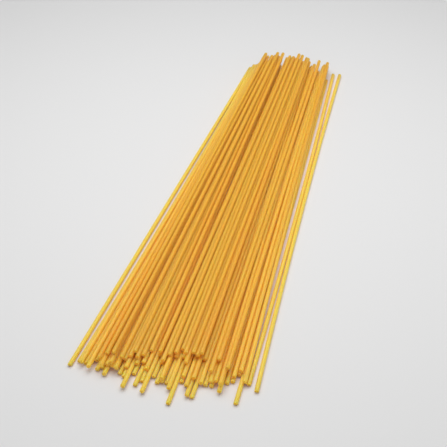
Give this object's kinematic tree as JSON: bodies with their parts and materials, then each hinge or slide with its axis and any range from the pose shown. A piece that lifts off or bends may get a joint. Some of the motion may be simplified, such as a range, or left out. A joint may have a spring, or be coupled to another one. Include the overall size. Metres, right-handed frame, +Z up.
{
  "type": "bundle of dry spaghetti",
  "caption": "Loose bundle of long, thin, straight dry pasta strands lying flat, gathered at one end and fanned out with uneven tips at the other.",
  "frame": {"origin": "bottom centre of the bundle's box, on the surface it lies on", "axes": "+Y along the strands from the fanned-out end to the gathered end, +Z up, +X to the right seen from the fanned-out end"},
  "size_m": [0.0748, 0.2704, 0.0098],
  "materials": {
    "dry_pasta": "golden dry durum pasta, slightly rough and faintly translucent"
  },
  "bodies": {
    "root": {"spaghetti_bundle": "dry_pasta"}
  },
  "joints": []
}
